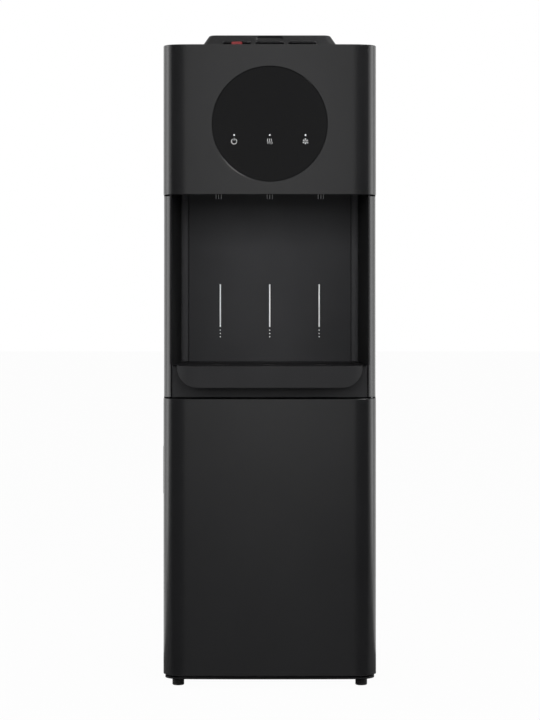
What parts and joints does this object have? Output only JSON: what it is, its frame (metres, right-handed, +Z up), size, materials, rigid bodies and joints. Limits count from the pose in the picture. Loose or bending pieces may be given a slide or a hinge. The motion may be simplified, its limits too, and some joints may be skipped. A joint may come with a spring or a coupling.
{
  "type": "water dispenser",
  "caption": "Floor-standing top-load water dispenser with push keys, a dispensing alcove, a pull-out drip tray and a lower cabinet door, for a large inverted bottle.",
  "frame": {"origin": "Centre of the bounding box in plan, at the floor under the feet.", "axes": "+X to the right as seen from the front, -Y towards the user in front, +Z up."},
  "size_m": [0.31, 0.382, 0.953],
  "materials": {
    "front_plastic": "satin",
    "bay_plastic": "satin",
    "tray_plastic": "satin",
    "grille_plastic": "satin",
    "collar_plastic": "satin",
    "key_plastic": "satin",
    "disc_gloss": "gloss",
    "light_white": "gloss",
    "print_white": "satin",
    "board_green": "satin",
    "lock_red": "gloss",
    "switch_red": "gloss",
    "switch_blue": "gloss",
    "dark_plastic": "satin",
    "liner_plastic": "matt",
    "white_plastic": "satin",
    "panel_steel": "satin",
    "base_steel": "satin",
    "condenser_steel": "satin",
    "bright_steel": "brushed",
    "rubber_black": "matt",
    "copper_tube": "satin",
    "hose_silicone": "satin",
    "foam_cream": "matt"
  },
  "bodies": {
    "cabinet": {"upper_front_panel": "front_plastic", "dispensing_bay": "bay_plastic", "top_deck": "bay_plastic", "display_disc": "disc_gloss", "indicator_lights": "light_white", "flow_marks": "print_white", "indicator_board": "board_green", "spouts": "dark_plastic", "switch_frame": "dark_plastic", "cabinet_liner": "liner_plastic", "tap_valves": "white_plastic", "drain_outlet": "white_plastic", "control_box": "white_plastic", "left_side_panel": "panel_steel", "right_side_panel": "panel_steel", "rear_panel": "panel_steel", "base_pan": "base_steel", "compressor": "condenser_steel", "condenser_tube": "condenser_steel", "condenser_wires": "condenser_steel", "rear_screws": "bright_steel", "hinge_pins": "bright_steel", "valve_bracket": "bright_steel", "cold_tank": "bright_steel", "hot_tank": "bright_steel", "tank_shelf": "bright_steel", "tank_plate": "bright_steel", "hot_return_spring": "bright_steel", "room_return_spring": "bright_steel", "cold_return_spring": "bright_steel", "feet": "rubber_black", "magnet_catch": "rubber_black", "compressor_mounts": "rubber_black", "cord_gland": "rubber_black", "evaporator_coil": "copper_tube", "refrigerant_lines": "copper_tube", "spout_hoses": "hose_silicone", "water_hoses": "hose_silicone", "cold_tank_foam": "foam_cream", "hot_tank_lagging": "foam_cream"},
    "drip_tray": {"drip_tray": "tray_plastic"},
    "drip_grille": {"drip_grille": "grille_plastic"},
    "door": {"cabinet_door": "front_plastic", "door_inner_panel": "liner_plastic", "door_pull": "dark_plastic", "strike_plate": "bright_steel"},
    "bottle_seat": {"bottle_collar": "collar_plastic", "bottle_funnel": "dark_plastic", "bottle_probe": "white_plastic", "probe_seal": "rubber_black"},
    "hot_key": {"hot_key": "key_plastic", "hot_push_rod": "white_plastic"},
    "room_key": {"room_key": "key_plastic", "room_push_rod": "white_plastic"},
    "cold_key": {"cold_key": "key_plastic", "cold_push_rod": "white_plastic"},
    "child_lock": {"child_lock": "lock_red"},
    "hot_rocker": {"hot_rocker": "switch_red"},
    "cold_rocker": {"cold_rocker": "switch_blue"},
    "drain_cap": {"drain_cap": "rubber_black"}
  },
  "joints": [
    {"name": "door_swing", "type": "hinge", "parent": "cabinet", "child": "door", "pos_m": [0.147, -0.125, 0.2189], "axis": [0, 0, 1], "range_deg": [0, 100]},
    {"name": "tray_slide", "type": "slide", "parent": "cabinet", "child": "drip_tray", "axis": [0, -1, 0], "range_m": [0, 0.15]},
    {"name": "grille_lift", "type": "slide", "parent": "drip_tray", "child": "drip_grille", "axis": [0, 0, 1], "range_m": [0, 0.06]},
    {"name": "bottle_seat_lift", "type": "slide", "parent": "cabinet", "child": "bottle_seat", "axis": [0, 0, 1], "range_m": [0, 0.1]},
    {"name": "hot_key_press", "type": "slide", "parent": "cabinet", "child": "hot_key", "axis": [0, 0, -1], "range_m": [0, 0.004], "stiffness_N_per_m": 400, "springref_m": -0.005, "deforming": ["hot_return_spring"]},
    {"name": "room_key_press", "type": "slide", "parent": "cabinet", "child": "room_key", "axis": [0, 0, -1], "range_m": [0, 0.004], "stiffness_N_per_m": 400, "springref_m": -0.005, "deforming": ["room_return_spring"]},
    {"name": "cold_key_press", "type": "slide", "parent": "cabinet", "child": "cold_key", "axis": [0, 0, -1], "range_m": [0, 0.004], "stiffness_N_per_m": 400, "springref_m": -0.005, "deforming": ["cold_return_spring"]},
    {"name": "child_lock_slide", "type": "slide", "parent": "hot_key", "child": "child_lock", "axis": [0, 1, 0], "range_m": [0, 0.004], "stiffness_N_per_m": 200, "springref_m": -0.002},
    {"name": "hot_rocker_tilt", "type": "hinge", "parent": "cabinet", "child": "hot_rocker", "pos_m": [0.067, 0.165, 0.8375], "axis": [1, 0, 0], "range_deg": [-16, 0]},
    {"name": "cold_rocker_tilt", "type": "hinge", "parent": "cabinet", "child": "cold_rocker", "pos_m": [0.085, 0.165, 0.8375], "axis": [1, 0, 0], "range_deg": [-16, 0]},
    {"name": "drain_cap_pull", "type": "slide", "parent": "cabinet", "child": "drain_cap", "axis": [0, 1, 0], "range_m": [0, 0.02]}
  ]
}
